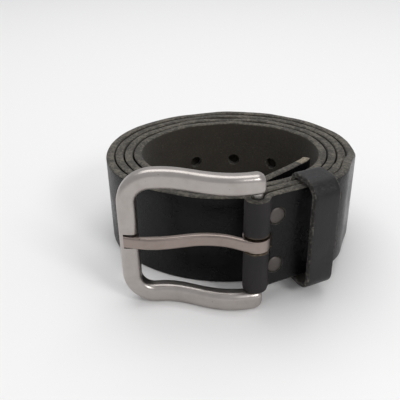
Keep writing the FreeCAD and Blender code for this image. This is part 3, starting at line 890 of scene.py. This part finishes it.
for v in band.verts:
    spot = v.co / 9.0
    v.co.y += (noise.noise(spot) * 0.22 if v.co.y < 0 else 0.0)
    to_edge = abs(v.co.z / KEEPER_WIDTH - 0.5)
    v.co.z += noise.noise(v.co / 7.0 + Vector((5, 0, 0))) * 0.25 * to_edge
write_uv(band)


def stand_at(at):
    """Turns a piece that was made standing up so that it lies along the strap."""
    return Matrix((
        (0, -face_dir.x, run_dir.x, at.x),
        (0, -face_dir.y, run_dir.y, at.y),
        (1, 0, 0, at.z),
        (0, 0, 0, 1),
    ))


keeper_at = on_end(KEEPER_START, 0.0, STRAP_MIDDLE - KEEPER_DROP)
bmesh.ops.transform(band, matrix=stand_at(keeper_at), verts=band.verts)
bmesh.ops.recalc_face_normals(band, faces=band.faces)
finish_piece("belt_keeper", band, "keeper", [keeper_face, flesh, dyed_edge],
             ["keeper"])

# %% [markdown]
# ## Rivets
#
# A rivet head is a shallow dome with a rolled rim. Half of its outline is
# drawn, and one full spin turns it into the solid. The back cap is a flatter
# dome, and the post joins them through the leather.

# %% Rivets
def spun(bm, outline, at, way, steps=40):
    """Spins an outline of (radius, height) points round the axis way."""
    points = [bm.verts.new((r, 0, h)) for r, h in outline]
    edges = [bm.edges.new(pair) for pair in zip(points, points[1:])]
    bmesh.ops.spin(bm, geom=points + edges, cent=(0, 0, 0), axis=(0, 0, 1),
                   angle=2 * pi, steps=steps, use_merge=True, use_duplicate=False)
    bmesh.ops.remove_doubles(bm, verts=bm.verts, dist=0.002)
    bmesh.ops.recalc_face_normals(bm, faces=bm.faces)
    turn = way.to_track_quat("Z", "Y").to_matrix().to_4x4()
    bmesh.ops.transform(bm, matrix=Matrix.Translation(at) @ turn, verts=bm.verts)


for tag, seat, way in rivet_seats:
    head = bmesh.new()
    post_end = CAP_THICK - RIVET_STACK
    spun(head, [(0.0, 0.38), (0.9, 0.36), (1.8, 0.24), (2.5, 0.06), (2.9, -0.10), (3.12, -0.28),
                (3.2, -0.45), (3.1, -0.58), (1.5, -0.6), (1.5, post_end), (0.0, post_end)],
         seat, way)
    finish_piece("rivet_dome_" + tag, head, "strap", [worn_bronze],
                 ["rivet_head_" + tag])
    back = bmesh.new()
    spun(back, [(0.0, 0.60), (1.0, 0.57), (2.0, 0.44), (2.7, 0.24), (2.95, 0.10), (3.0, 0.0),
                (0.0, 0.0)], seat + way * post_end, -way)
    finish_piece("rivet_cap_" + tag, back, "strap", [worn_bronze],
                 ["rivet_back_" + tag])

# %% [markdown]
# ## Staples
#
# Two wire staples close the keeper at the back. Each is round wire: a ring
# of edges is pulled along the crown and turned down at both ends.

# %% Staples
WIRE = 0.25
keeper_back = LEATHER + PLY_GAP + BACK_LEATHER + BACK_GAP + KEEPER_LEATHER
for tag, height in (("upper", 6.0), ("lower", -6.0)):
    wire = bmesh.new()
    bmesh.ops.create_circle(wire, cap_ends=False, segments=12, radius=WIRE)
    middle_of_wire = on_end(KEEPER_START + 2.0, keeper_back + WIRE,
                            STRAP_MIDDLE - KEEPER_DROP + height)
    wire.verts.layers.float.new("along")
    start_edges = list(wire.edges)
    crown = Strip(wire, start_edges, Vector((0, WIRE, 0)), Vector((0, 1, 0)), 2 * WIRE)
    crown.run(Vector((0, 0, 7.0)), 6)
    bmesh.ops.holes_fill(wire, edges=crown.rim + start_edges)
    for v in wire.verts:
        near_end = max(0.0, abs(v.co.z - 3.5) - 2.9) / 0.6
        v.co.y -= 0.22 * near_end ** 2
    bmesh.ops.transform(wire, matrix=stand_at(middle_of_wire), verts=wire.verts)
    bmesh.ops.recalc_face_normals(wire, faces=wire.faces)
    finish_piece("staple_wire_" + tag, wire, "keeper", [plain_steel],
                 ["keeper_staple_" + tag])

# %% [markdown]
# ## Buckle, prong and bar
#
# The cast frame, the prong and the bar are hard metal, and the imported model
# already has their true shapes. They could be made again here, but then two
# shapes would have to agree, so they keep their meshes and only take a finish.

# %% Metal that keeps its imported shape
for name, metal in (("buckle_frame", satin_nickel), ("prong", prong_nickel),
                    ("hinge_bar", plain_steel)):
    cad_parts[name].data.materials.clear()
    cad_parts[name].data.materials.append(metal)
    print(name, "is now", metal.name)

# %% [markdown]
# ## Floor and light
#
# The belt stands on a pale seamless floor. A broad soft light overhead, a
# smaller one to the right and a pale surrounding give the satin metal
# something to mirror and leave only faint shadows.

# %% Floor and light
floor_bm = bmesh.new()
bmesh.ops.create_grid(floor_bm, x_segments=2, y_segments=2, size=4.0)
floor_mesh = bpy.data.meshes.new("floor")
floor_bm.to_mesh(floor_mesh)
floor_bm.free()
floor_finish, _, floor_shader = start_finish("pale floor", Roughness=0.55,
                                                      Specular_IOR_Level=0.25)
floor_shader.inputs["Base Color"].default_value = (0.90, 0.893, 0.885, 1)
floor_mesh.materials.append(floor_finish)
floor = bpy.data.objects.new("floor", floor_mesh)
bpy.context.scene.collection.objects.link(floor)
floor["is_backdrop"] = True

world = bpy.data.worlds.new("studio")
bpy.context.scene.world = world
world.use_nodes = True
world.node_tree.nodes["Background"].inputs["Color"].default_value = (0.97, 0.98, 1.0, 1)
world.node_tree.nodes["Background"].inputs["Strength"].default_value = 0.59


def soft_light(name, at, towards, wide, tall, power, colour=(1, 1, 1)):
    lamp = bpy.data.lights.new(name, "AREA")
    lamp.shape = "RECTANGLE"
    lamp.size, lamp.size_y, lamp.energy, lamp.color = wide, tall, power, colour
    thing = bpy.data.objects.new(name, lamp)
    thing.location = at
    way = Vector(at) - Vector(towards)
    thing.rotation_euler = way.to_track_quat("Z", "Y").to_euler()
    bpy.context.scene.collection.objects.link(thing)


soft_light("overhead", (0.0, 0.30, 0.9), (0, 0.05, 0), 1.0, 0.8, 4.2)
soft_light("right front", (0.45, -0.55, 0.55), (0, -0.05, 0.03), 0.22, 0.22, 1.9)
bpy.context.scene.view_settings.view_transform = "Standard"

# %% [markdown]
# ## The visual box
#
# The box round every rendered piece, the floor left out, is printed.

# %% The visual box, and finish
low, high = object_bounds()
print("visual box", [round(v, 4) for v in low], [round(v, 4) for v in high])
